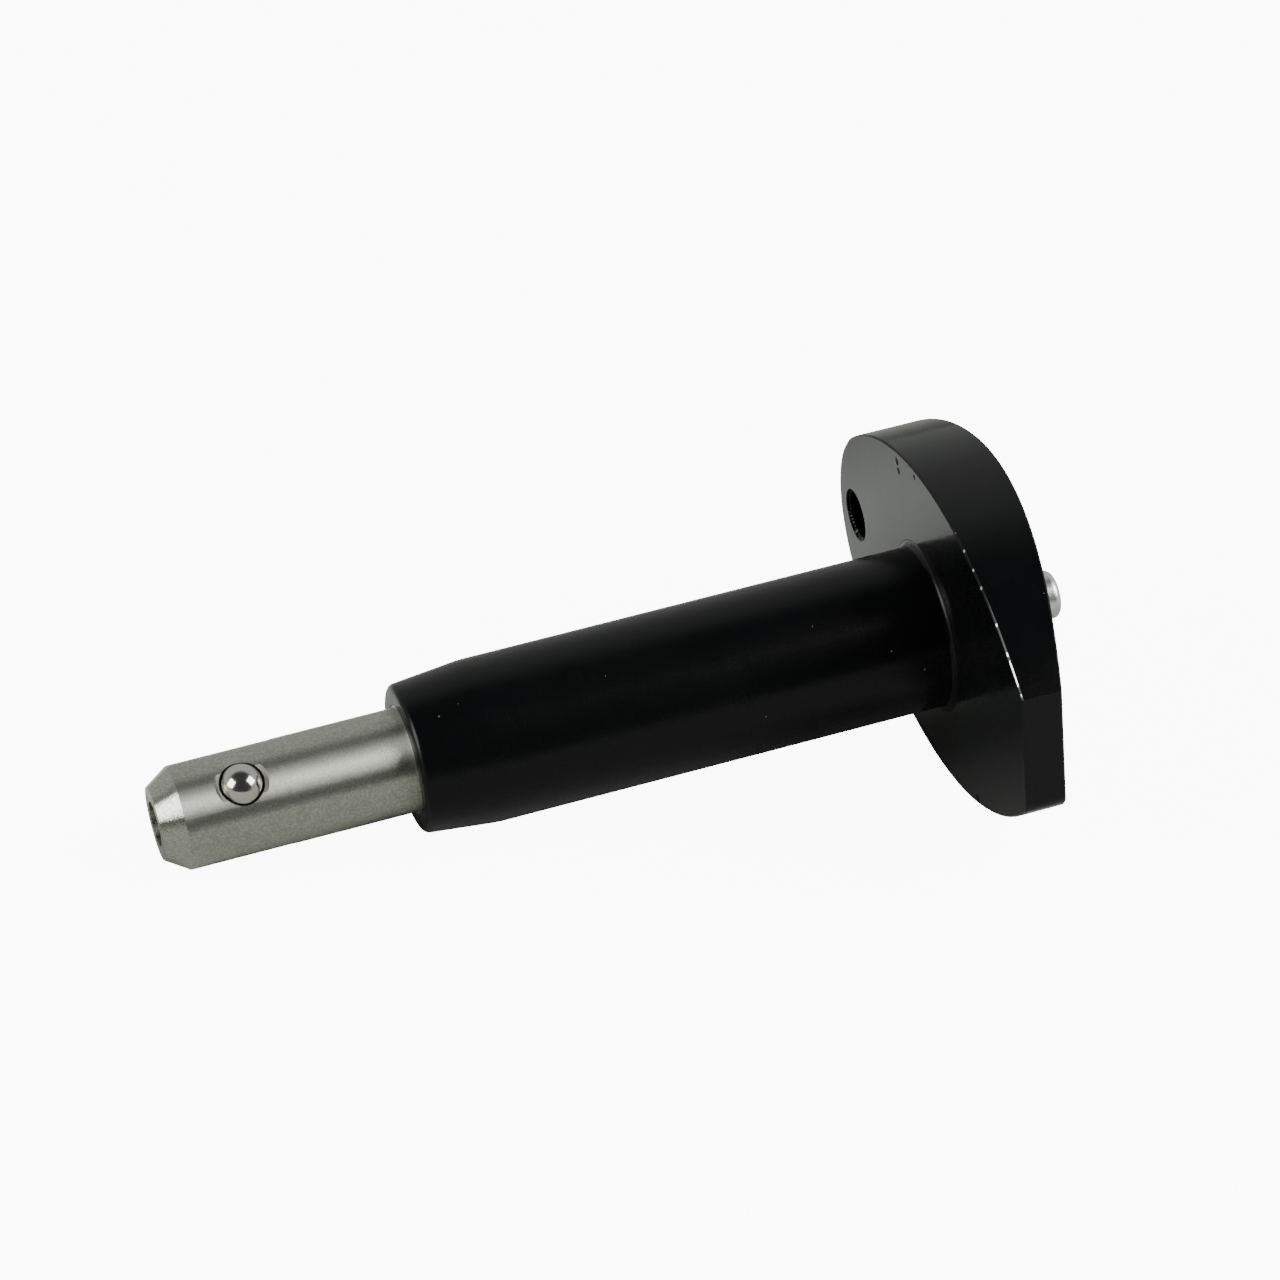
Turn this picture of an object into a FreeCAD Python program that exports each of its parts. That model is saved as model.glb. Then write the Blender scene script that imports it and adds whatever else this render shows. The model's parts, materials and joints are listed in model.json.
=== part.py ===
"""Ball-lock tool post: a push-button locking pin in a black sleeve on an oval flange.

Millimetres.  X runs along the pin, from the tip (-X) to the button (+X).  The origin is on the
pin's axis in the plane of the flange's front face.  Y runs along the flange's long side, towards
its hole, and Z across it.
"""
import FreeCAD, Part
import math
import os

from FreeCAD import Vector as V

# ---- driving dimensions ---------------------------------------------------------------------
# pin
TIP_X = -96.7            # end of the pin
TIP_R = 4.47             # small end of the tip's chamfer
TIP_LENGTH = 2.8         # length of the tip's chamfer
PIN_R = 6.35             # half-inch pin
NOSE_R = 6.31            # relieved round the balls
GRIP_X = -81.0           # the full radius runs from here to the sleeve
SHANK_R = 6.6            # hidden in the sleeve
COLLAR_X = 4.0           # front face of the pin's rear collar
COLLAR_R = 7.16
CHAMBER_X = -20.0        # front end of the spring chamber in the pin
CHAMBER_R = 4.2
FIT = 0.04               # radial running clearance
SEATED = 0.02            # radial gap between pieces that are pressed or screwed together

# balls and spindle
BALL_R = 2.58            # 13/64 inch ball
BALL_X = TIP_X + 10.3
BALL_ANGLE = 34.0        # the upper ball, from +Z towards -Y, degrees
STROKE = 3.0             # travel of the button and spindle
BALL_DROP = 1.6          # travel of each ball over that stroke
LAND_R = 2.69            # spindle where it runs in the pin's bore
ROD_R = 2.0
BORE_R = LAND_R + FIT
BALL_REST = BORE_R + BALL_R     # distance of a ball's centre from the axis at rest
POCKET_R = BALL_R + 0.07
LIP_R = 2.54             # staked rim that holds the ball in
LIP_LEVEL = 5.95         # its inner edge, from the axis
COIN_R = 3.2             # flat ring the staking tool leaves
COIN_LEVEL = 6.05

# spring, stop ring and button
SEAT_THICK = 0.8         # spring seat and thrust washer
SPRING_R = 3.0           # mean radius of the coil
WIRE_R = 0.45
COILS = 10
RING_X = 6.1             # front face of the stop ring
RING_THICK = 0.8
RING_R = 3.6
GROOVE_R = 1.6
CATCH_R = 2.45           # collar on the rod that stops the inward stroke
CATCH_LENGTH = 2.0
BUTTON_R = 3.0
STEM_X = 8.2             # front end of the button
BUTTON_X = 16.6          # rear end of the button
ROD_X = 13.4             # rear end of the rod, inside the button
ROLL_R = 0.6             # roll pin through the button and rod
ROLL_X = 10.2

# sleeve, end bush and ring nut
SLEEVE_X = -66.1         # front end of the sleeve
SLEEVE_R = 9.95
NOSE_END_R = 9.05        # small end of the sleeve's tapered nose
NOSE_LENGTH = 9.0
FOOT_R = 10.7            # the sleeve flares where it meets the flange
FLARE_R = 0.7
SPIGOT_R = 8.5           # threaded part of the sleeve, through the flange
TAIL_X = 11.4            # rear end of the spigot, the end bush and the ring nut
BUSH_X = 7.0             # front face of the end bush
SPANNER_R = 0.9          # two holes for a pin spanner in the end bush
SPANNER_AT = 5.1
KEY_WIDTH = 3.0          # keyway along the top of the spigot's thread
KEY_DEPTH = 0.9
NUT_X = 8.9
NUT_R = 10.4
SLOT_WIDTH = 3.0
SLOT_DEPTH = 1.0
WASHER_R = 10.2

# flange
PLATE_THICK = 10.0       # at the crown of the rear face
CROWN_Y = 3.0            # the crown runs across the plate here
CROWN_R = 122.0          # the rear face falls away from it along Y
RECESS_R = 10.75         # shallow seat in the front face for the sleeve's foot
RECESS = 0.3
SPOT_X = 8.4             # flat seat for the washer, sunk in the rear face
SPOT_R = 11.2
PLATE_Z = 1.3            # centre line of the outline above the pin's axis
FLAT_Y = -31.6           # flat end of the outline
END_Y = 30.3             # round end of the outline
SIDE_R = 43.1            # the two long sides
SIDE_C = V(0, -1.45, 22.8)   # centre of the lower side, from the centre line
END_R = 14.5
CORNER_R = 2.5
HOLE_Y = 24.6
HOLE_R = 3.0
EDGE = 0.22              # edge break
GRUB_X = 4.2             # grub screw in the lower edge
GRUB_R = 2.0
GRUB_LENGTH = 7.15
GRUB_TIP = 0.35          # how far the screw's tip sits in the spot drilled for it


# ---- helpers --------------------------------------------------------------------------------
def turned(points):
    """Solid of revolution about X from a closed outline of (x, radius) points."""
    outline = [V(x, 0, r) for x, r in points]
    face = Part.Face(Part.makePolygon(outline + outline[:1]))
    return face.revolve(V(0, 0, 0), V(1, 0, 0), 360)


def ring(x0, x1, inner, outer):
    return turned([(x0, inner), (x1, inner), (x1, outer), (x0, outer)])


def rod(radius, start, end):
    """Round bar from one point to another."""
    return Part.makeCylinder(radius, (end - start).Length, start, end - start)


def rims(shape, x, radius):
    """The circular edges about X at one station and radius."""
    found = []
    for edge in shape.Edges:
        curve = edge.Curve
        if isinstance(curve, Part.Circle) and abs(curve.Radius - radius) < 0.01:
            if abs(curve.Center.x - x) < 0.01 and math.hypot(curve.Center.y, curve.Center.z) < 0.01:
                found.append(edge)
    return found


def about_x(radius, degrees, x=0.0):
    """Point at a radius from X, turned from +Z towards -Y."""
    a = math.radians(degrees)
    return V(x, -radius * math.sin(a), radius * math.cos(a))


def hex_socket(centre, axis, flats, depth):
    """Hexagonal prism that cuts a socket, from its mouth inwards along the axis."""
    corner = flats / math.sqrt(3)
    side = axis.cross(V(1, 0, 0)) if abs(axis.x) < 0.9 else axis.cross(V(0, 1, 0))
    side.normalize()
    other = axis.cross(side)
    points = []
    for k in range(6):
        a = math.radians(60 * k)
        points.append(centre + side * (corner * math.cos(a)) + other * (corner * math.sin(a)))
    return Part.Face(Part.makePolygon(points + points[:1])).extrude(axis * depth)


# ---- fixed pieces -----------------------------------------------------------------------------
def pin_shank():
    """Hollow pin: chamfered tip, two ball pockets, spring chamber and rear collar."""
    shoulder = SLEEVE_X + 0.1
    body = turned([
        (TIP_X, BORE_R), (TIP_X, TIP_R), (TIP_X + TIP_LENGTH, NOSE_R), (GRIP_X - 0.7, NOSE_R),
        (GRIP_X, PIN_R), (shoulder, PIN_R), (shoulder, SHANK_R), (COLLAR_X, SHANK_R),
        (COLLAR_X, COLLAR_R), (BUSH_X, COLLAR_R), (BUSH_X, CHAMBER_R), (CHAMBER_X, CHAMBER_R),
        (CHAMBER_X, BORE_R)])
    for side in (0, 180):
        centre = V(BALL_X, 0, 0)
        lip = about_x(LIP_LEVEL, BALL_ANGLE + side, BALL_X)
        coin = about_x(COIN_LEVEL, BALL_ANGLE + side, BALL_X)
        outside = about_x(PIN_R + 1, BALL_ANGLE + side, BALL_X)
        body = body.cut(rod(POCKET_R, centre, lip))
        body = body.cut(rod(LIP_R, centre, outside))
        body = body.cut(rod(COIN_R, coin, outside))
    return body


def keyway():
    """Slot along the top of the spigot's thread."""
    return Part.makeBox(TAIL_X - SPOT_X + 2, KEY_WIDTH, KEY_DEPTH + 1,
                        V(SPOT_X - 1, -KEY_WIDTH / 2, SPIGOT_R - KEY_DEPTH))


def sleeve():
    """Black tube over the pin, with a tapered nose and a spigot through the flange."""
    bore = SHANK_R + SEATED
    wide_bore = COLLAR_R + SEATED
    body = turned([
        (SLEEVE_X, bore), (SLEEVE_X, NOSE_END_R), (SLEEVE_X + NOSE_LENGTH, SLEEVE_R),
        (0, SLEEVE_R), (0, FOOT_R), (RECESS, FOOT_R), (RECESS, SPIGOT_R),
        (TAIL_X - 0.5, SPIGOT_R), (TAIL_X, SPIGOT_R - 0.5), (TAIL_X, wide_bore),
        (COLLAR_X, wide_bore), (COLLAR_X, bore)])
    body = body.makeFillet(1.0, rims(body, SLEEVE_X, NOSE_END_R))
    body = body.makeFillet(FLARE_R, rims(body, 0, SLEEVE_R))
    spot = rod(GRUB_R + 0.05, V(GRUB_X, 0, -SPIGOT_R - 1), V(GRUB_X, 0, GRUB_TIP + 0.05 - SPIGOT_R))
    return body.cut(keyway()).cut(spot)


def plate_outline():
    """Oval with two wide side arcs, one round end and one flat end."""
    flat = SIDE_R ** 2 - (FLAT_Y - SIDE_C.y) ** 2
    corner_z = math.sqrt(flat) - SIDE_C.z
    end_centre = V(0, END_Y - END_R, 0)
    away = V(0, end_centre.y - SIDE_C.y, SIDE_C.z)
    away.normalize()
    join = end_centre + away * END_R
    crown = V(0, SIDE_C.y, SIDE_R - SIDE_C.z)
    up = [V(0, FLAT_Y, corner_z), crown, join]
    down = [V(0, p.y, -p.z) for p in up]
    edges = [
        Part.Arc(*up).toShape(),
        Part.Arc(join, V(0, END_Y, 0), down[2]).toShape(),
        Part.Arc(down[2], down[1], down[0]).toShape(),
        Part.LineSegment(down[0], up[0]).toShape(),
    ]
    wire = Part.Wire(edges)
    wire.translate(V(0, 0, PLATE_Z))
    return wire


def plate_side_view():
    """Prism of the plate seen along Z: flat in front, crowned behind."""
    reach = 40.0

    def rear(y):
        fall = CROWN_R - math.sqrt(CROWN_R ** 2 - (y - CROWN_Y) ** 2)
        return V(PLATE_THICK - fall, y, -reach)

    low, high = V(0, -reach, -reach), V(0, reach, -reach)
    crown = Part.Arc(rear(-reach), rear(CROWN_Y), rear(reach)).toShape()
    sides = [Part.LineSegment(p, q).toShape()
             for p, q in ((high, low), (low, rear(-reach)), (rear(reach), high))]
    outline = Part.Wire(Part.__sortEdges__(sides + [crown]))
    return Part.Face(outline).extrude(V(0, 0, 2 * reach))


def flange_plate():
    """Oval plate with the sleeve's seat, the washer's seat, the hole and the screw's hole."""
    plate = Part.Face(plate_outline()).extrude(V(PLATE_THICK, 0, 0)).common(plate_side_view())
    corner = [e for e in plate.Edges
              if isinstance(e.Curve, Part.Line) and abs(e.tangentAt(e.FirstParameter).x) > 0.99
              and e.CenterOfMass.z < 0]
    plate = plate.makeFillet(CORNER_R, corner)
    both_rims = [e for e in plate.Edges if abs(e.tangentAt(e.FirstParameter).x) < 0.9]
    plate = plate.makeChamfer(EDGE, both_rims)
    front, rear = V(-1, 0, 0), V(PLATE_THICK + 1, 0, 0)
    hole = V(0, HOLE_Y, PLATE_Z)
    cuts = [
        rod(SPIGOT_R + SEATED, front, rear),
        rod(RECESS_R, front, V(RECESS, 0, 0)),
        rod(SPOT_R, V(SPOT_X, 0, 0), rear),
        rod(HOLE_R, hole + front, hole + rear),
        Part.makeCone(HOLE_R + 0.4, HOLE_R, 0.4, hole, V(1, 0, 0)),
        rod(GRUB_R, V(GRUB_X, 0, 1 - SPIGOT_R), V(GRUB_X, 0, -25)),
    ]
    return plate.cut(cuts)


def flange_grub_screw():
    """Socket screw in the flange's lower edge that stops it turning on the spigot."""
    start = V(GRUB_X, 0, GRUB_TIP - SPIGOT_R)
    head = start - V(0, 0, GRUB_LENGTH + GRUB_TIP)
    screw = rod(GRUB_R - SEATED, start, head)
    ends = [e for e in screw.Edges if isinstance(e.Curve, Part.Circle)]
    screw = screw.makeChamfer(0.4, ends)
    return screw.cut(hex_socket(head, V(0, 0, 1), 2.0, 2.2))


def lock_washer():
    """Tab washer: one tab in the keyway, one bent up into a slot of the nut."""
    washer = ring(SPOT_X, NUT_X, SPIGOT_R + 0.05, WASHER_R)
    inner = Part.makeBox(NUT_X - SPOT_X, KEY_WIDTH - 0.2, KEY_DEPTH,
                         V(SPOT_X, 0.1 - KEY_WIDTH / 2, SPIGOT_R - KEY_DEPTH + 0.1))
    bent = Part.makeBox(2.2, SLOT_WIDTH - 0.3, 0.6,
                        V(SPOT_X, 0.15 - SLOT_WIDTH / 2, WASHER_R - 0.6))
    return washer.fuse([inner, bent]).removeSplitter()


def ring_nut():
    """Slotted round nut that clamps the flange against the sleeve."""
    inner = SPIGOT_R + 0.03
    nut = turned([(NUT_X, inner), (NUT_X, NUT_R), (TAIL_X - 0.5, NUT_R), (TAIL_X, NUT_R - 0.5),
                  (TAIL_X, inner)])
    for k in range(4):
        slot = Part.makeBox(4, SLOT_WIDTH, SLOT_DEPTH + 1,
                            V(NUT_X - 0.5, -SLOT_WIDTH / 2, NUT_R - SLOT_DEPTH))
        slot.rotate(V(0, 0, 0), V(1, 0, 0), 90 * k)
        nut = nut.cut(slot)
    return nut


def end_bush():
    """Screwed plug that holds the pin in the sleeve and guides the button."""
    bore = BUTTON_R + FIT
    bush = turned([(BUSH_X, bore), (BUSH_X, COLLAR_R), (TAIL_X - 0.3, COLLAR_R),
                   (TAIL_X, COLLAR_R - 0.3), (TAIL_X, BUTTON_R + 0.4), (TAIL_X - 0.4, bore)])
    for side in (0, 180):
        mouth = about_x(SPANNER_AT, 90 + side, TAIL_X)
        bush = bush.cut(rod(SPANNER_R, mouth - V(2, 0, 0), mouth + V(1, 0, 0)))
    return bush


def spring_seat():
    return ring(CHAMBER_X, CHAMBER_X + SEAT_THICK, ROD_R + 0.1, CHAMBER_R - 0.1)


def return_spring():
    """Compression spring with ground ends, between the seat and the thrust washer."""
    start = CHAMBER_X + SEAT_THICK
    length = RING_X - SEAT_THICK - start
    pitch = (length + WIRE_R) / COILS
    helix = Part.makeHelix(pitch, pitch * COILS, SPRING_R)
    section = Part.Wire(Part.Circle(V(SPRING_R, 0, 0), V(0, 1, 0), WIRE_R).toShape())
    coil = Part.Wire(helix.Edges).makePipeShell([section], True, True)
    coil.translate(V(0, 0, -WIRE_R / 2))
    coil = coil.common(Part.makeBox(12, 12, length, V(-6, -6, 0)))
    coil.rotate(V(0, 0, 0), V(0, 1, 0), 90)
    coil.translate(V(start, 0, 0))
    return coil


# ---- moving pieces ----------------------------------------------------------------------------
def cross_hole():
    """Hole across the button and the rod for the roll pin."""
    reach = V(0, BUTTON_R + 1, 0)
    middle = V(ROLL_X, 0, 0)
    return rod(ROLL_R, middle - reach, middle + reach)


def spindle():
    """Rod with a land, a ramp and a neck under the balls, and a groove for the stop ring."""
    slope = math.atan(BALL_DROP / STROKE)
    ramp_x = BALL_X - (BALL_R + FIT) * math.tan(slope / 2)
    neck_r = LAND_R - BALL_DROP
    catch_x = CHAMBER_X + SEAT_THICK + STROKE + 0.1
    return turned([
        (TIP_X + 3.4, 0), (TIP_X + 3.4, LAND_R - 0.5), (TIP_X + 3.9, LAND_R),
        (ramp_x, LAND_R), (ramp_x + STROKE, neck_r), (BALL_X + 5.2, neck_r),
        (BALL_X + 6.4, LAND_R), (BALL_X + 14, LAND_R), (BALL_X + 14.7, ROD_R),
        (catch_x, ROD_R), (catch_x, CATCH_R), (catch_x + CATCH_LENGTH, CATCH_R),
        (catch_x + CATCH_LENGTH, ROD_R), (RING_X, ROD_R), (RING_X, GROOVE_R),
        (RING_X + RING_THICK, GROOVE_R), (RING_X + RING_THICK, ROD_R), (ROD_X, ROD_R),
        (ROD_X, 0)]).cut(cross_hole())


def ball(side):
    return Part.makeSphere(BALL_R, about_x(BALL_REST, BALL_ANGLE + side, BALL_X))


def thrust_washer():
    return ring(RING_X - SEAT_THICK, RING_X, ROD_R + 0.03, CHAMBER_R - 0.3)


def stop_ring():
    """Open retaining ring in the rod's groove."""
    clip = ring(RING_X + 0.03, RING_X + RING_THICK - 0.03, GROOVE_R + 0.03, RING_R)
    return clip.cut(Part.makeBox(2, 2.4, 5, V(RING_X - 0.5, -1.2, 0)))


def button():
    """Push button: a round-edged cap cross-pinned to the rod."""
    socket_r = ROD_R + SEATED
    socket_x = ROD_X + 0.2
    cap = turned([(STEM_X, socket_r), (STEM_X, BUTTON_R), (BUTTON_X, BUTTON_R), (BUTTON_X, 0),
                  (socket_x, 0), (socket_x, socket_r)])
    cap = cap.makeFillet(0.9, rims(cap, BUTTON_X, BUTTON_R))
    return cap.cut(cross_hole())


def button_roll_pin():
    """Split tube through the button and the rod."""
    end = V(0, BUTTON_R - 0.15, 0)
    middle = V(ROLL_X, 0, 0)
    pin = rod(ROLL_R, middle - end, middle + end).cut(rod(0.3, middle - end, middle + end))
    split = Part.makeBox(1.0, 2 * BUTTON_R, 0.2, V(ROLL_X, -BUTTON_R, -0.1))
    return pin.cut(split)


# ---- export -----------------------------------------------------------------------------------
NODES = {
    "pin_shank": pin_shank(),
    "sleeve": sleeve(),
    "flange_plate": flange_plate(),
    "flange_grub_screw": flange_grub_screw(),
    "lock_washer": lock_washer(),
    "ring_nut": ring_nut(),
    "end_bush": end_bush(),
    "spindle": spindle(),
    "ball_upper": ball(0),
    "ball_lower": ball(180),
    "spring_seat": spring_seat(),
    "return_spring": return_spring(),
    "thrust_washer": thrust_washer(),
    "stop_ring": stop_ring(),
    "button": button(),
    "button_roll_pin": button_roll_pin(),
}

os.makedirs("parts", exist_ok=True)
for node, shape in NODES.items():
    box = shape.BoundBox
    print("%-18s solids %d valid %s volume %8.1f  X %7.2f..%6.2f" % (
        node, len(shape.Solids), shape.isValid(), shape.Volume, box.XMin, box.XMax))
    shape.exportStep("parts/%s.step" % node)
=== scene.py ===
"""Ball-lock tool post: finishes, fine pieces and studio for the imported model."""
import bmesh
import bpy
import json
import math
from mathutils import Euler, Matrix, Vector


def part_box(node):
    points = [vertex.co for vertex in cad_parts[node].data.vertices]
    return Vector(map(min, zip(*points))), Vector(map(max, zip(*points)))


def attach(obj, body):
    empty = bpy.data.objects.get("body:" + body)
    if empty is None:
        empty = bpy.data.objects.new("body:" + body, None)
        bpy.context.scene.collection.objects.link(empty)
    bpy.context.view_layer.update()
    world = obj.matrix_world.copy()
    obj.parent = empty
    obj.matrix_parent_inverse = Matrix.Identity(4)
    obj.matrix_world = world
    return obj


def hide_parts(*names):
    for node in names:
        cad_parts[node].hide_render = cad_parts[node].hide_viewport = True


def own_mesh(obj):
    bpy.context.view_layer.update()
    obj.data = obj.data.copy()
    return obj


bl_info = {
    "name": "Ball-Lock Tool Post",
    "version": (1, 0, 0),
    "blender": (4, 5, 0),
    "location": "View3D > Sidebar > Tool Post",
    "description": "Finishes a push-button ball-lock tool post and sets it in a small studio",
    "category": "Object",
}

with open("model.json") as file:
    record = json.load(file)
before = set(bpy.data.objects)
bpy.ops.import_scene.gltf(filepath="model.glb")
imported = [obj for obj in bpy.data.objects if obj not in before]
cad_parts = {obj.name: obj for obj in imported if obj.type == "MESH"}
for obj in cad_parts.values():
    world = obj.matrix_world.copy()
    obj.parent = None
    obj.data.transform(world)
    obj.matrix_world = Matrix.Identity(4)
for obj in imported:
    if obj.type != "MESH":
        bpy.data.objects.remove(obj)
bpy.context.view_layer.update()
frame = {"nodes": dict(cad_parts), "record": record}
NODES = frame["nodes"]
MM = 0.001
FLOAT = "NodeSocketFloat"
VECTOR = "NodeSocketVector"

# how the pin, the sleeve and the nut are turned, in millimetres; bores are given as radii
PIN_RADIUS = 6.35
TIP_LENGTH = 2.8           # of the pin's tapered tip
NOSE_LENGTH = 9.0          # of the sleeve's taper
NOSE_END = 9.05            # radius at the taper's thin end
SLEEVE_BORE = 6.62         # over the pin
COLLAR_BORE = 7.18         # over the pin's collar
COLLAR_START = 4.0         # behind the flange's front face
FOOT_FLARE = 0.75          # how far the sleeve's foot stands out
SEAT_DEPTH = 0.3           # how far the foot sits in the flange
SPIGOT = 8.5               # radius of the sleeve inside the flange and the nut
END_CHAMFER = 0.5
KEY_START = 7.4            # the spigot's keyway takes the washer's tab
KEY_LENGTH = 6.0
KEY_WIDTH = 3.0
KEY_FLOOR = 7.6            # from the axis
NUT_BORE = 8.53
NUT_SLOT = 3.0


# ---- settings ---------------------------------------------------------------------------------
class PostFinishSettings(bpy.types.PropertyGroup):
    """Colours and finish of the post."""
    steel_colour: bpy.props.FloatVectorProperty(
        name="Steel", description="Colour of the stainless pin", subtype="COLOR",
        size=3, min=0, max=1, default=(0.545, 0.55, 0.485))
    black_colour: bpy.props.FloatVectorProperty(
        name="Black", description="Colour of the black finish", subtype="COLOR",
        size=3, min=0, max=1, default=(0.0025, 0.0027, 0.0029))
    grain_depth: bpy.props.FloatProperty(
        name="Grain depth", description="Depth of the turned grain on the pin",
        unit="LENGTH", subtype="DISTANCE", min=0, max=0.0001, precision=6, default=0.000014)
    wear: bpy.props.FloatProperty(
        name="Edge wear", description="How far the black is rubbed off the flange's edges",
        subtype="FACTOR", min=0, max=1, default=0.5)
    eased_edge: bpy.props.FloatProperty(
        name="Eased edge", description="Radius of the flange's edges where the chamfer ends",
        unit="LENGTH", subtype="DISTANCE", min=0, max=0.0003, precision=5, default=0.0001)


class PostStageSettings(bpy.types.PropertyGroup):
    """Camera and studio."""
    azimuth: bpy.props.FloatProperty(
        name="Azimuth", description="Direction the camera looks, from +Y towards +X",
        subtype="ANGLE", default=math.radians(15.21))
    elevation: bpy.props.FloatProperty(
        name="Elevation", description="How far the camera looks down",
        subtype="ANGLE", default=math.radians(34.54))
    roll: bpy.props.FloatProperty(
        name="Roll", description="Turn of the camera about its view",
        subtype="ANGLE", default=math.radians(-5.50))
    distance: bpy.props.FloatProperty(
        name="Distance", description="From the camera to the point it aims at",
        unit="LENGTH", subtype="DISTANCE", default=0.59715)
    aim: bpy.props.FloatVectorProperty(
        name="Aim", description="Point the camera aims at", unit="LENGTH",
        subtype="TRANSLATION", size=3, precision=5, default=(-0.03520, 0.00312, 0.00621))
    lens: bpy.props.FloatProperty(
        name="Lens", description="Focal length on a 36 mm sensor, in millimetres",
        min=20, max=400, default=140.625)
    floor_colour: bpy.props.FloatVectorProperty(
        name="Floor", description="Colour of the floor", subtype="COLOR",
        size=3, min=0, max=1, default=(0.70, 0.70, 0.70))
    box_size: bpy.props.FloatProperty(
        name="Softbox", description="Side of each softbox", unit="LENGTH", subtype="DISTANCE",
        min=0.1, max=2, default=0.60)
    box_power: bpy.props.FloatProperty(
        name="Softbox power", description="Power of each softbox", unit="POWER", min=0, max=100,
        default=8.0)


# ---- node helpers -----------------------------------------------------------------------------
def fill(tree, node, inputs):
    """Give a node its inputs, which are values, or sockets to link."""
    for key, value in inputs.items():
        if isinstance(value, bpy.types.NodeSocket):
            tree.links.new(value, node.inputs[key])
        else:
            node.inputs[key].default_value = value


def put(tree, kind, inputs=None, **settings):
    """Add a node with its settings and inputs."""
    node = tree.nodes.new(kind)
    for key, value in settings.items():
        setattr(node, key, value)
    fill(tree, node, inputs or {})
    return node


def math_of(tree, operation, a, b=0.0, c=0.0):
    """One Math node's result."""
    return put(tree, "ShaderNodeMath", {0: a, 1: b, 2: c}, operation=operation).outputs[0]


def ramp_of(tree, value, low, high):
    """0 below low, 1 above high, smooth between."""
    node = put(tree, "ShaderNodeMapRange", {"Value": value, "From Min": low, "From Max": high},
               interpolation_type="SMOOTHSTEP")
    return node.outputs["Result"]


def stretched(tree, vector, scale):
    """A vector with each axis scaled by its own number."""
    node = put(tree, "ShaderNodeVectorMath", {0: vector, 1: scale}, operation="MULTIPLY")
    return node.outputs["Vector"]


def noise_of(tree, vector, scale, detail, roughness):
    """Soft noise about 0.5, with features about 1 / scale metres across."""
    node = put(tree, "ShaderNodeTexNoise", {"Vector": vector, "Scale": scale, "Detail": detail,
                                            "Roughness": roughness})
    return node.outputs["Fac"]


def group(name, inputs, outputs):
    """New shader group; returns its tree, the given values and the sockets of its results."""
    tree = bpy.data.node_groups.new(name, "ShaderNodeTree")
    for label, kind, default in inputs:
        item = tree.interface.new_socket(label, in_out="INPUT", socket_type=kind)
        if default is not None:
            item.default_value = default
    for label, kind in outputs:
        tree.interface.new_socket(label, in_out="OUTPUT", socket_type=kind)
    source = tree.nodes.new("NodeGroupInput")
    sink = tree.nodes.new("NodeGroupOutput")
    return tree, source.outputs, sink.inputs


def use(tree, group_tree, inputs):
    """Place a shader group and return its outputs."""
    node = put(tree, "ShaderNodeGroup", node_tree=group_tree)
    fill(tree, node, inputs)
    return node.outputs


# ---- shared effects ---------------------------------------------------------------------------
def grain_group():
    """Fine speckle with lathe rings about X, as height and a mask."""
    tree, given, out = group(
        "Turned Grain", [("Vector", VECTOR, None), ("Speckle Size", FLOAT, 0.0002),
                         ("Ring Pitch", FLOAT, 0.0003), ("Rings", FLOAT, 0.5)],
        [("Height", FLOAT), ("Mask", FLOAT)])
    speckle_scale = math_of(tree, "DIVIDE", 1.0, given["Speckle Size"])
    speckle = noise_of(tree, given["Vector"], speckle_scale, 4.0, 0.6)
    ring_scale = math_of(tree, "DIVIDE", 1.0, given["Ring Pitch"])
    along = stretched(tree, given["Vector"], (1.0, 0.03, 0.03))
    rings = noise_of(tree, along, ring_scale, 2.0, 0.5)
    height = put(tree, "ShaderNodeMix", {"Factor": given["Rings"], "A": speckle, "B": rings})
    tree.links.new(height.outputs["Result"], out["Height"])
    tree.links.new(ramp_of(tree, speckle, 0.35, 0.7), out["Mask"])
    return tree


def specks_group():
    """Sparse specks and lint, as a mask; Size is a speck's radius as a share of Spacing."""
    tree, given, out = group(
        "Dust Specks", [("Vector", VECTOR, None), ("Spacing", FLOAT, 0.003), ("Size", FLOAT, 0.05)],
        [("Mask", FLOAT)])
    wobble = put(tree, "ShaderNodeTexNoise", {"Vector": given["Vector"], "Scale": 2500.0})
    shift = stretched(tree, wobble.outputs["Color"], (0.2 * MM,) * 3)
    moved = put(tree, "ShaderNodeVectorMath", {0: given["Vector"], 1: shift}, operation="ADD")
    scale = math_of(tree, "DIVIDE", 1.0, given["Spacing"])
    cells = put(tree, "ShaderNodeTexVoronoi", {"Vector": moved.outputs["Vector"], "Scale": scale})
    near = math_of(tree, "LESS_THAN", cells.outputs["Distance"], given["Size"])
    tree.links.new(near, out["Mask"])
    return tree


def scratches_group():
    """Short hairline marks in one direction, as a mask."""
    tree, given, out = group(
        "Hairlines", [("Vector", VECTOR, None), ("Width", FLOAT, 0.0001), ("Amount", FLOAT, 0.5)],
        [("Mask", FLOAT)])
    scale = math_of(tree, "DIVIDE", 1.0, given["Width"])
    along = stretched(tree, given["Vector"], (1.0, 0.04, 0.04))
    lines = noise_of(tree, along, scale, 1.0, 0.5)
    patches = noise_of(tree, given["Vector"], 160.0, 2.0, 0.5)
    sharp = ramp_of(tree, lines, 0.66, 0.72)
    where = ramp_of(tree, patches, 0.52, 0.62)
    both = math_of(tree, "MULTIPLY", sharp, where)
    tree.links.new(math_of(tree, "MULTIPLY", both, given["Amount"]), out["Mask"])
    return tree


def smudge_group():
    """Slow handling marks, as a value about 0.5."""
    tree, given, out = group("Handling", [("Vector", VECTOR, None), ("Size", FLOAT, 0.006)],
                             [("Value", FLOAT)])
    scale = math_of(tree, "DIVIDE", 1.0, given["Size"])
    tree.links.new(noise_of(tree, given["Vector"], scale, 5.0, 0.6), out["Value"])
    return tree


GROUPS = {}


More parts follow.
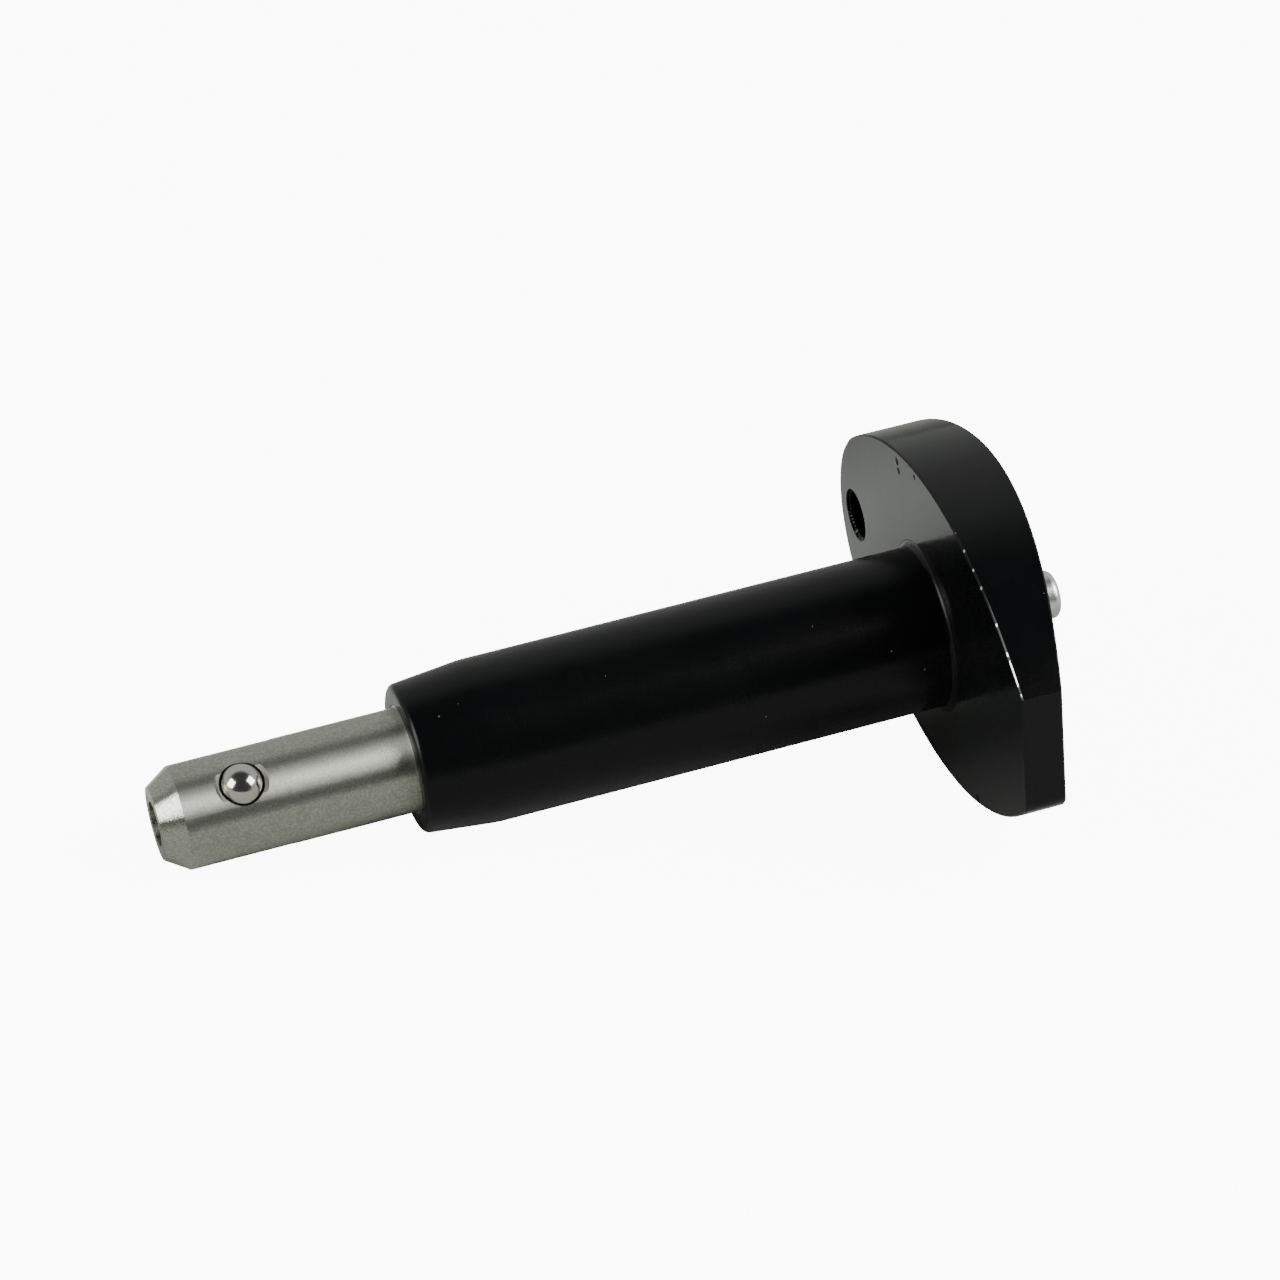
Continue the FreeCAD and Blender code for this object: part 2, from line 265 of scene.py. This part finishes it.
def effects():
    """The shared groups, built once."""
    if not GROUPS:
        GROUPS.update(grain=grain_group(), specks=specks_group(),
                      scratches=scratches_group(), smudge=smudge_group())
    return GROUPS


# ---- materials --------------------------------------------------------------------------------
def new_material(name):
    """New material; returns it, its tree, its Principled shader and its Texture Coordinate."""
    material = bpy.data.materials.new(name)
    material.use_nodes = True
    tree = material.node_tree
    shader = tree.nodes["Principled BSDF"]
    place = tree.nodes.new("ShaderNodeTexCoord")
    return material, tree, shader, place


def mixed(tree, factor, a, b):
    """Colour a where factor is 0 and b where it is 1."""
    node = put(tree, "ShaderNodeMix", {"Factor": factor}, data_type="RGBA")
    sockets = [s for s in node.inputs if s.type == "RGBA"]
    for socket, value in zip(sockets, (a, b)):
        if isinstance(value, bpy.types.NodeSocket):
            tree.links.new(value, socket)
        else:
            socket.default_value = (*value[:3], 1.0)
    return [s for s in node.outputs if s.type == "RGBA"][0]


def shade(colour, factor):
    """A colour made darker or lighter."""
    return tuple(c * factor for c in colour[:3])


def steel_material(name, colour, roughness, grain, rings=0.5, turned=0.0, gap_shade=None, fine=None):
    """Bare steel with grain, hairlines and handling marks; turned spreads its gloss along X.

    gap_shade and fine, where given, make the masks of a line of painted shade in a gap and of a
    finer cut.
    """
    fx = effects()
    material, tree, shader, place = new_material(name)
    at = place.outputs["Object"]
    texture = use(tree, fx["grain"], {"Vector": at, "Speckle Size": 0.00028,
                                      "Ring Pitch": 0.0003, "Rings": rings})
    lines = use(tree, fx["scratches"], {"Vector": at, "Width": 0.00009, "Amount": 0.6})
    marks = use(tree, fx["smudge"], {"Vector": at, "Size": 0.004})
    base = mixed(tree, texture["Mask"], shade(colour, 0.84), shade(colour, 1.13))
    worn = mixed(tree, lines["Mask"], base, shade(colour, 1.2))
    if gap_shade:
        # painted shade: a near-black line in the gap round each ball, where shade falls
        worn = mixed(tree, gap_shade(tree, place), worn, (0.02, 0.02, 0.018))
    tree.links.new(worn, shader.inputs["Base Color"])
    rough = math_of(tree, "MULTIPLY_ADD", marks["Value"], 0.14, roughness - 0.07)
    rough = math_of(tree, "MULTIPLY_ADD", texture["Mask"], -0.10, rough)
    if fine:
        rough = math_of(tree, "MULTIPLY_ADD", fine(tree, place), -0.17, rough)
    tree.links.new(rough, shader.inputs["Roughness"])
    shader.inputs["Metallic"].default_value = 1.0
    if turned:
        round_x = put(tree, "ShaderNodeVectorMath", {0: (1.0, 0.0, 0.0), 1: at},
                      operation="CROSS_PRODUCT")
        tree.links.new(round_x.outputs["Vector"], shader.inputs["Tangent"])
        shader.inputs["Anisotropic"].default_value = turned
        shader.inputs["Anisotropic Rotation"].default_value = 0.25
    dip = math_of(tree, "MULTIPLY_ADD", lines["Mask"], -0.3, texture["Height"])
    bump = put(tree, "ShaderNodeBump", {"Height": dip, "Distance": grain, "Strength": 1.0})
    tree.links.new(bump.outputs["Normal"], shader.inputs["Normal"])
    return material


def black_material(name, colour, roughness, ior, orange_peel, speck=0.03, rim=None):
    """Black coating with faint texture and dust.

    rim, where given, makes the mask of the bare metal where edges are rubbed; the front face
    is then chipped too.
    """
    fx = effects()
    material, tree, shader, place = new_material(name)
    at = place.outputs["Object"]
    marks = use(tree, fx["smudge"], {"Vector": at, "Size": 0.007})
    dust = use(tree, fx["specks"], {"Vector": at, "Spacing": 0.0036, "Size": speck})
    lines = use(tree, fx["scratches"], {"Vector": at, "Width": 0.00012, "Amount": 0.03})
    film = mixed(tree, marks["Value"], colour, shade(colour, 1.8))
    marked = mixed(tree, lines["Mask"], film, (0.10, 0.10, 0.10))
    final = mixed(tree, dust["Mask"], marked, (0.16, 0.16, 0.155))
    rough = math_of(tree, "MULTIPLY_ADD", marks["Value"], 0.16, roughness - 0.08)
    rough = math_of(tree, "MULTIPLY_ADD", dust["Mask"], 0.4, rough)
    if rim is not None:
        chips = chipped_face(tree, place)
        rough = math_of(tree, "MULTIPLY_ADD", chips, 0.6, rough)
        worn = rim(tree, place)
        final = mixed(tree, worn, final, (0.72, 0.72, 0.71))
        tree.links.new(worn, shader.inputs["Metallic"])
    tree.links.new(final, shader.inputs["Base Color"])
    tree.links.new(rough, shader.inputs["Roughness"])
    shader.inputs["IOR"].default_value = ior
    texture = noise_of(tree, at, 5200.0, 3.0, 0.6)
    bump = put(tree, "ShaderNodeBump", {"Height": texture, "Distance": orange_peel})
    tree.links.new(bump.outputs["Normal"], shader.inputs["Normal"])
    return material


def tip_cone(tree, place):
    """Mask of the pin's finer turned tip."""
    spot = put(tree, "ShaderNodeSeparateXYZ", {0: place.outputs["Object"]})
    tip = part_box("pin_shank")[0][0] + TIP_LENGTH * MM
    return ramp_of(tree, spot.outputs["X"], tip, tip - 0.1 * MM)


def ball_gap_shade():
    """Painted shade: a dark line in the gap round each ball."""
    low, high = (Vector(corner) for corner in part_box("ball_upper"))
    centre = (low + high) / 2
    axis = Vector((0, centre.y, centre.z)).normalized()
    radius = (high.x - low.x) / 2

    def mask(tree, place):
        arm = put(tree, "ShaderNodeVectorMath", {0: place.outputs["Object"], 1: tuple(centre)},
                  operation="SUBTRACT")
        swept = put(tree, "ShaderNodeVectorMath", {0: arm.outputs["Vector"], 1: tuple(axis)},
                    operation="CROSS_PRODUCT")
        off = put(tree, "ShaderNodeVectorMath", {0: swept.outputs["Vector"]}, operation="LENGTH")
        return ramp_of(tree, off.outputs["Value"], radius + 0.17 * MM, radius + 0.08 * MM)
    return mask


def nearness(tree, place, point, reach, along=True):
    """1 at a point, fading to 0 at a distance; without along, X is left out of the distance."""
    at = stretched(tree, place.outputs["Object"], (1.0 if along else 0.0, 1.0, 1.0))
    apart = put(tree, "ShaderNodeVectorMath", {0: at, 1: point}, operation="DISTANCE")
    return ramp_of(tree, apart.outputs["Value"], reach, reach * 0.4)


def rubbed_rim(amount):
    """Mask on the flange's chamfers: a worn line by the flat end's corner, nicks further up."""
    low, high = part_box("flange_plate")
    corner = (0.0, low[1], 0.5 * high[2])
    nicks = (-0.0143, -0.0171, -0.0195, -0.0240)  # Y of each, on the front's upper chamfer

    def mask(tree, place):
        # a chamfer's normal leans 0.71 along X, a face's 1 and the edge's 0
        normal = put(tree, "ShaderNodeSeparateXYZ", {0: place.outputs["Normal"]})
        lean = math_of(tree, "ABSOLUTE", normal.outputs["X"])
        band = math_of(tree, "MULTIPLY", ramp_of(tree, lean, 0.60, 0.70),
                       ramp_of(tree, lean, 0.80, 0.72))
        spot = put(tree, "ShaderNodeSeparateXYZ", {0: place.outputs["Object"]})
        side = ramp_of(tree, spot.outputs["Y"], low[1] + 0.2 * MM, low[1] + 0.6 * MM)
        wear = noise_of(tree, place.outputs["Object"], 900.0, 3.0, 0.6)
        close = nearness(tree, place, corner, 0.0086, along=False)
        eased = math_of(tree, "MULTIPLY_ADD", close, 0.22, wear)
        start = 0.78 - 0.16 * amount
        line = ramp_of(tree, eased, start, start + 0.05)
        above = math_of(tree, "GREATER_THAN", spot.outputs["Z"], 0.0)
        front = math_of(tree, "LESS_THAN", spot.outputs["X"], 1.0 * MM)
        upper = math_of(tree, "MULTIPLY", above, front)
        for y in nicks:
            here = math_of(tree, "COMPARE", spot.outputs["Y"], y, 0.16 * MM)
            line = math_of(tree, "MAXIMUM", line, math_of(tree, "MULTIPLY", here, upper))
        band = math_of(tree, "MULTIPLY", band, side)
        return math_of(tree, "MULTIPLY", band, line)
    return mask


def chipped_face(tree, place):
    """Mask of the dark chips knocked out of the flange's front face."""
    edge = noise_of(tree, place.outputs["Object"], 1900.0, 3.0, 0.7)
    chips = None
    for point, reach in (((0.0, 0.0076, 0.0192), 0.9 * MM), ((0.0, 0.0072, 0.0181), 0.8 * MM),
                         ((0.0, 0.0016, 0.0205), 0.6 * MM), ((0.0, -0.0150, -0.0160), 1.0 * MM)):
        here = math_of(tree, "MULTIPLY", nearness(tree, place, point, reach), edge)
        chip = math_of(tree, "GREATER_THAN", here, 0.38)
        chips = chip if chips is None else math_of(tree, "MAXIMUM", chips, chip)
    return chips


def mirror_material(name, colour, roughness):
    """Polished metal with faint swirl marks."""
    fx = effects()
    material, tree, shader, place = new_material(name)
    at = place.outputs["Object"]
    marks = use(tree, fx["smudge"], {"Vector": at, "Size": 0.0012})
    tint = mixed(tree, marks["Value"], shade(colour, 0.96), colour)
    tree.links.new(tint, shader.inputs["Base Color"])
    shader.inputs["Metallic"].default_value = 1.0
    rough = math_of(tree, "MULTIPLY_ADD", marks["Value"], 0.03, roughness)
    tree.links.new(rough, shader.inputs["Roughness"])
    return material


def dress(node, material):
    """Give a carried-over node its finish."""
    mesh = NODES[node].data
    mesh.materials.clear()
    mesh.materials.append(material)


# ---- shapes -----------------------------------------------------------------------------------
def softened(corners, steps=5):
    """Outline of (x, radius) points; each corner is rounded to its third number."""
    outline = []
    for k, (x, r, soft) in enumerate(corners):
        here = Vector((x, r))
        if not soft:
            outline.append(here)
            continue
        back = (Vector(corners[k - 1][:2]) - here).normalized()
        ahead = (Vector(corners[(k + 1) % len(corners)][:2]) - here).normalized()
        half = back.angle(ahead) / 2
        start = back * (soft / math.tan(half))
        end = ahead * (soft / math.tan(half))
        centre = (back + ahead).normalized() * (soft / math.sin(half))
        for i in range(steps + 1):
            spoke = (start - centre).lerp(end - centre, i / steps).normalized()
            outline.append(here + centre + spoke * soft)
    return outline


def lathed(outline, segments=192):
    """Closed ring shape turned about X from an outline in millimetres."""
    shape = bmesh.new()
    rings = []
    for x, r in outline:
        turns = (math.tau * k / segments for k in range(segments))
        rings.append([shape.verts.new((x * MM, r * MM * math.cos(a), r * MM * math.sin(a)))
                      for a in turns])
    for near, far in zip(rings, rings[1:] + rings[:1]):
        for k in range(segments):
            after = (k + 1) % segments
            shape.faces.new((near[k], near[after], far[after], far[k]))
    bmesh.ops.recalc_face_normals(shape, faces=shape.faces)
    return shape


def from_node(node, whole=True):
    """A node's merged mesh, with its triangles joined into whole faces if asked."""
    shape = bmesh.new()
    shape.from_mesh(NODES[node].data)
    bmesh.ops.remove_doubles(shape, verts=shape.verts, dist=0.002 * MM)
    if whole:
        bmesh.ops.dissolve_limit(shape, angle_limit=math.radians(0.3), verts=shape.verts,
                                 edges=shape.edges)
    return shape


def rounder_hole(shape, axis, reach, cuts=3):
    """Divide the rings round a hole along X more finely, and put them back on their circles."""
    centre = Vector((0, axis[0], axis[1]))
    flat = Vector((0, 1, 1))
    drift, spread = 0.15 * MM, 0.01 * MM  # how far a ring's edge may run along X and outwards

    def arm(vertex):
        return (vertex.co - centre) * flat

    rings = [edge for edge in shape.edges
             if all(arm(v).length < reach for v in edge.verts)
             and abs(edge.verts[0].co.x - edge.verts[1].co.x) < drift
             and abs(arm(edge.verts[0]).length - arm(edge.verts[1]).length) < spread]
    known = set(shape.verts)
    radii = sorted({round(arm(edge.verts[0]).length, 6) for edge in rings})
    bmesh.ops.subdivide_edges(shape, edges=rings, cuts=cuts, use_grid_fill=True)
    for vertex in set(shape.verts) - known:
        out = arm(vertex)
        if out.length < reach:
            radius = min((r for r in radii if r >= out.length), default=out.length)
            vertex.co += out * (radius / out.length - 1)


def milled_slots():
    """Geometry tree that cuts evenly spaced slots along X into a turned piece."""
    tree = bpy.data.node_groups.new("Milled Slots", "GeometryNodeTree")
    tree.interface.new_socket("Geometry", in_out="INPUT", socket_type="NodeSocketGeometry")
    for label, kind in (("Count", "NodeSocketInt"), ("Width", FLOAT), ("Floor Radius", FLOAT),
                        ("Start", FLOAT), ("Length", FLOAT), ("Material", "NodeSocketMaterial")):
        tree.interface.new_socket(label, in_out="INPUT", socket_type=kind)
    tree.interface.new_socket("Geometry", in_out="OUTPUT", socket_type="NodeSocketGeometry")
    given = tree.nodes.new("NodeGroupInput").outputs
    height = 4.0 * MM
    size = put(tree, "ShaderNodeCombineXYZ", {"X": given["Length"], "Y": given["Width"],
                                              "Z": height})
    cutter = put(tree, "GeometryNodeMeshCube", {"Size": size.outputs[0]})
    middle = put(tree, "ShaderNodeCombineXYZ", {
        "X": math_of(tree, "MULTIPLY_ADD", given["Length"], 0.5, given["Start"]),
        "Z": math_of(tree, "ADD", given["Floor Radius"], height / 2)})
    placed = put(tree, "GeometryNodeTransform", {"Geometry": cutter.outputs["Mesh"],
                                                 "Translation": middle.outputs[0]})
    step = math_of(tree, "DIVIDE", math.tau, given["Count"])
    number = tree.nodes.new("GeometryNodeInputIndex")
    turn = put(tree, "ShaderNodeCombineXYZ", {
        "X": math_of(tree, "MULTIPLY", number.outputs[0], step)})
    points = put(tree, "GeometryNodePoints", {"Count": given["Count"]})
    round_x = put(tree, "GeometryNodeInstanceOnPoints", {
        "Points": points.outputs[0], "Instance": placed.outputs["Geometry"],
        "Rotation": turn.outputs[0]})
    cutters = put(tree, "GeometryNodeRealizeInstances", {"Geometry": round_x.outputs[0]})
    cut = put(tree, "GeometryNodeMeshBoolean", {"Mesh 1": given["Geometry"],
                                                "Mesh 2": cutters.outputs[0]},
              operation="DIFFERENCE", solver="EXACT")
    whole = put(tree, "GeometryNodeRealizeInstances", {"Geometry": cut.outputs["Mesh"]})
    finish = put(tree, "GeometryNodeSetMaterial", {"Geometry": whole.outputs[0],
                                                   "Material": given["Material"]})
    put(tree, "NodeGroupOutput", {"Geometry": finish.outputs[0]})
    return tree


def stands_for(node, body, name, shape, material, slots=None, eased=0.0):
    """Finish a shape as a piece that takes a node's place.

    slots holds the milled slots' inputs by name, and eased is the width of rounded edges.
    """
    mesh = bpy.data.meshes.new(name)
    shape.to_mesh(mesh)
    shape.free()
    mesh.shade_smooth()
    mesh.materials.append(material)
    draft = bpy.data.objects.new(name, mesh)
    bpy.context.scene.collection.objects.link(draft)
    if slots:
        tree = milled_slots()
        milling = draft.modifiers.new("Milled slots", "NODES")
        milling.node_group = tree
        for item in tree.interface.items_tree:
            if item.in_out == "INPUT" and item.name in slots:
                milling[item.identifier] = slots[item.name]
            elif item.in_out == "INPUT" and item.name == "Material":
                milling[item.identifier] = material
    if eased:
        bevel = draft.modifiers.new("Eased edges", "BEVEL")
        bevel.width = eased
        bevel.segments = 2
        bevel.limit_method = "ANGLE"
        bevel.angle_limit = math.radians(20)
    draft.modifiers.new("Even shading", "WEIGHTED_NORMAL")
    graph = bpy.context.evaluated_depsgraph_get()
    done = bpy.data.meshes.new_from_object(draft.evaluated_get(graph))
    bpy.data.objects.remove(draft)
    done.name = name
    piece = bpy.data.objects.new(name, done)
    bpy.context.scene.collection.objects.link(piece)
    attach(piece, body)
    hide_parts(node)
    return piece


# ---- operators --------------------------------------------------------------------------------
class POST_OT_steel_pieces(bpy.types.Operator):
    """Finish the pin, spindle, bush and small steel pieces"""
    bl_idname = "post.steel_pieces"
    bl_label = "Steel pieces"

    def execute(self, context):
        look = context.scene.post_finish
        steel = tuple(look.steel_colour)
        dress("pin_shank", steel_material("Stainless", steel, roughness=0.46,
                                          grain=look.grain_depth, turned=0.94,
                                          gap_shade=ball_gap_shade(), fine=tip_cone))
        dress("spindle", steel_material("Ground rod", shade(steel, 0.9), roughness=0.3,
                                        grain=0.000006))
        dress("end_bush", steel_material("Turned bush", steel, roughness=0.3, grain=0.00001,
                                         rings=0.9))
        spring_steel = steel_material("Spring steel", shade(steel, 0.8), roughness=0.35,
                                      grain=0.000004)
        for node in ("spring_seat", "thrust_washer", "stop_ring", "button_roll_pin"):
            dress(node, spring_steel)
        wire = steel_material("Spring wire", shade(steel, 0.9), roughness=0.3, grain=0.000003)
        spring = stands_for("return_spring", "post", "coiled_spring",
                            from_node("return_spring", whole=False), wire)
        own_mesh(spring)
        return {"FINISHED"}


class POST_OT_bright_pieces(bpy.types.Operator):
    """Finish the balls and the push button"""
    bl_idname = "post.bright_pieces"
    bl_label = "Balls and button"

    def execute(self, context):
        ball = mirror_material("Ball", (0.72, 0.70, 0.64), roughness=0.13)
        dress("ball_upper", ball)
        dress("ball_lower", ball)
        dress("button", mirror_material("Button chrome", (0.98, 0.98, 0.98), roughness=0.30))
        return {"FINISHED"}


class POST_OT_sleeve(bpy.types.Operator):
    """Turn the black sleeve with its tapered nose, and cut its keyway"""
    bl_idname = "post.sleeve"
    bl_label = "Sleeve"

    def execute(self, context):
        black = tuple(context.scene.post_finish.black_colour)
        low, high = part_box("sleeve")
        nose, tail, foot = low[0] / MM, high[0] / MM, high[1] / MM
        wide = foot - FOOT_FLARE
        outline = softened([
            (nose, SLEEVE_BORE, 0.12), (nose, NOSE_END, 0.9), (nose + NOSE_LENGTH, wide, 12.0),
            (0, wide, 0.7), (0, foot, 0), (SEAT_DEPTH, foot, 0), (SEAT_DEPTH, SPIGOT, 0),
            (tail - END_CHAMFER, SPIGOT, 0.1), (tail, SPIGOT - END_CHAMFER, 0.1),
            (tail, COLLAR_BORE, 0.05), (COLLAR_START, COLLAR_BORE, 0),
            (COLLAR_START, SLEEVE_BORE, 0)])
        finish = black_material("Satin black sleeve", black, roughness=0.25, ior=1.30,
                                orange_peel=0.000001, speck=0.032)
        keyway = {"Count": 1, "Width": KEY_WIDTH * MM, "Floor Radius": KEY_FLOOR * MM,
                  "Start": KEY_START * MM, "Length": KEY_LENGTH * MM}
        stands_for("sleeve", "post", "turned_sleeve", lathed(outline), finish,
                   slots=keyway)
        return {"FINISHED"}


class POST_OT_flange(bpy.types.Operator):
    """Finish the flange, ease its edges and rub them through"""
    bl_idname = "post.flange"
    bl_label = "Flange"

    def execute(self, context):
        look = context.scene.post_finish
        black = tuple(look.black_colour)
        finish = black_material("Black flange", black, roughness=0.17, ior=1.35,
                                orange_peel=0.0000005, speck=0.022, rim=rubbed_rim(look.wear))
        plate = from_node("flange_plate")
        hole = next(m for m in frame["record"]["mounts"] if m["name"] == "flange_hole")
        rounder_hole(plate, hole["pos_m"][1:], 4.0 * MM)
        stands_for("flange_plate", "post", "eased_flange", plate, finish,
                   eased=look.eased_edge)
        return {"FINISHED"}


class POST_OT_fixings(bpy.types.Operator):
    """Cut the slotted nut, and finish the washer and the grub screw"""
    bl_idname = "post.fixings"
    bl_label = "Nut, washer and grub screw"

    def execute(self, context):
        black = tuple(context.scene.post_finish.black_colour)
        oxide = black_material("Black oxide", shade(black, 3.0), roughness=0.42, ior=1.5,
                               orange_peel=0.00001)
        low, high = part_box("ring_nut")
        front, rear, wide = low[0] / MM, high[0] / MM, high[1] / MM
        outline = softened([(front, NUT_BORE, 0.1), (front, wide, 0.15),
                            (rear - END_CHAMFER, wide, 0.15),
                            (rear, wide - END_CHAMFER, 0.15), (rear, NUT_BORE, 0.1)])
        slots = {"Count": 4, "Width": NUT_SLOT * MM, "Floor Radius": (wide - 1.0) * MM,
                 "Start": (front - 0.5) * MM, "Length": 4.0 * MM}
        stands_for("ring_nut", "post", "slotted_nut", lathed(outline), oxide,
                   slots=slots)
        dress("flange_grub_screw", oxide)
        dress("lock_washer", steel_material("Washer steel", (0.4, 0.4, 0.39), roughness=0.4,
                                            grain=0.000005))
        return {"FINISHED"}


class POST_OT_stage(bpy.types.Operator):
    """Set the camera, the floor and the lights"""
    bl_idname = "post.stage"
    bl_label = "Studio"

    def execute(self, context):
        stage = context.scene.post_stage
        camera(context.scene, stage)
        lay_floor(stage.floor_colour)
        soft_lights(stage)
        surroundings(context.scene)
        return {"FINISHED"}


# ---- stage ------------------------------------------------------------------------------------
def camera(scene, stage):
    """Camera that looks along azimuth and elevation, turned by the roll."""
    data = bpy.data.cameras.new("Camera")
    data.lens = stage.lens
    data.sensor_width = 36.0
    data.clip_start = 0.01
    turn = Euler((math.pi / 2 - stage.elevation, 0, -stage.azimuth), "XYZ").to_matrix()
    turn = turn @ Matrix.Rotation(stage.roll, 3, "Z")
    piece = bpy.data.objects.new("Camera", data)
    piece.rotation_euler = turn.to_euler()
    piece.location = Vector(stage.aim) + turn @ Vector((0, 0, stage.distance))
    scene.collection.objects.link(piece)
    scene.camera = piece


def lay_floor(colour):
    """Pale sheet that the pin's tip and the flange's lower edge rest on."""
    low_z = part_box("flange_plate")[0][2]
    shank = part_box("pin_shank")
    tip_x = shank[0][0] + TIP_LENGTH * MM
    slope = math.atan2(-PIN_RADIUS * MM - low_z, -tip_x)
    sheet = bmesh.new()
    bmesh.ops.create_grid(sheet, x_segments=8, y_segments=8, size=3.0)
    mesh = bpy.data.meshes.new("Floor")
    sheet.to_mesh(mesh)
    sheet.free()
    piece = bpy.data.objects.new("Floor", mesh)
    piece.rotation_euler = (0, slope, 0)
    piece.location = (0, 0, low_z - 0.1 * MM)
    bpy.context.scene.collection.objects.link(piece)
    mesh.materials.append(paper(colour))


def paper(colour):
    """White paper that glows to the camera alone, so that no shadow shows on it.

    In reflections it is a plain grey that doesn't glow, brighter in a painted band of light beyond
    the post.
    """
    material, tree, shader, place = new_material("Paper")
    fleck = noise_of(tree, place.outputs["Object"], 900.0, 3.0, 0.6)
    tone = mixed(tree, fleck, shade(colour, 0.99), colour)
    tree.links.new(tone, shader.inputs["Base Color"])
    shader.inputs["Roughness"].default_value = 0.9
    shader.inputs["Specular IOR Level"].default_value = 0.1
    shader.inputs["Emission Color"].default_value = (1.0, 1.0, 1.0, 1.0)
    shader.inputs["Emission Strength"].default_value = 10.0
    spot = put(tree, "ShaderNodeSeparateXYZ", {0: place.outputs["Object"]})
    # painted light: in reflections the floor is brighter in a band beyond the post
    beyond = math_of(tree, "MULTIPLY", ramp_of(tree, spot.outputs["Y"], 0.0, 0.03),
                     ramp_of(tree, spot.outputs["Y"], 0.085, 0.05))
    tint = mixed(tree, beyond, (0.49, 0.505, 0.475), (0.90, 0.93, 0.89))
    grey = put(tree, "ShaderNodeBsdfDiffuse", {"Color": tint})
    ray = put(tree, "ShaderNodeLightPath")
    blend = put(tree, "ShaderNodeMixShader", {0: ray.outputs["Is Camera Ray"],
                                              1: grey.outputs[0], 2: shader.outputs[0]})
    tree.links.new(blend.outputs[0], tree.nodes["Material Output"].inputs["Surface"])
    return material


def soft_lights(stage):
    """A softbox either side of the camera, both turned to the sleeve."""
    middle = Vector((-0.04, 0, 0))
    for name, place in (("Left box", Vector((-0.885, -0.123, 0.537))),
                        ("Right box", Vector((0.684, -0.405, 0.568)))):
        data = bpy.data.lights.new(name, "AREA")
        data.shape = "SQUARE"
        data.size = stage.box_size
        data.energy = stage.box_power
        piece = bpy.data.objects.new(name, data)
        piece.location = place
        piece.rotation_euler = (middle - place).to_track_quat("-Z", "Y").to_euler()
        bpy.context.scene.collection.objects.link(piece)


def surroundings(scene):
    """Grey walls beyond the post and a dark room on the camera's side."""
    world = bpy.data.worlds.new("Room")
    world.use_nodes = True
    tree = world.node_tree
    tree.nodes.clear()
    place = tree.nodes.new("ShaderNodeTexCoord")
    overhead = (-0.15, -0.60, 0.79)
    facing = put(tree, "ShaderNodeVectorMath", {0: place.outputs["Generated"], 1: overhead},
                 operation="DOT_PRODUCT")
    dark = ramp_of(tree, facing.outputs["Value"], 0.20, 0.62)
    tone = mixed(tree, dark, (0.50, 0.52, 0.495), (0.05, 0.05, 0.055))
    light = put(tree, "ShaderNodeBackground", {"Color": tone, "Strength": 1.0})
    sink = tree.nodes.new("ShaderNodeOutputWorld")
    tree.links.new(light.outputs[0], sink.inputs["Surface"])
    scene.world = world


class POST_PT_panel(bpy.types.Panel):
    """Lists the settings and the steps that finish the post"""
    bl_idname = "POST_PT_panel"
    bl_label = "Tool Post"
    bl_space_type = "VIEW_3D"
    bl_region_type = "UI"
    bl_category = "Tool Post"

    def draw(self, context):
        for settings in (context.scene.post_finish, context.scene.post_stage):
            for name in settings.__annotations__:
                self.layout.prop(settings, name)
        for operator in STEPS:
            self.layout.operator(operator.bl_idname)


STEPS = (POST_OT_steel_pieces, POST_OT_bright_pieces, POST_OT_sleeve, POST_OT_flange,
         POST_OT_fixings, POST_OT_stage)
CLASSES = (PostFinishSettings, PostStageSettings, *STEPS, POST_PT_panel)


def register():
    """Add the classes and the scene's settings."""
    for item in CLASSES:
        bpy.utils.register_class(item)
    bpy.types.Scene.post_finish = bpy.props.PointerProperty(type=PostFinishSettings)
    bpy.types.Scene.post_stage = bpy.props.PointerProperty(type=PostStageSettings)


def unregister():
    """Take the settings and the classes away."""
    del bpy.types.Scene.post_stage
    del bpy.types.Scene.post_finish
    for item in reversed(CLASSES):
        bpy.utils.unregister_class(item)


def main():
    """Build the finished post."""
    register()
    bpy.ops.post.steel_pieces()
    bpy.ops.post.bright_pieces()
    bpy.ops.post.sleeve()
    bpy.ops.post.flange()
    bpy.ops.post.fixings()
    bpy.ops.post.stage()


if __name__ == "__main__":
    main()
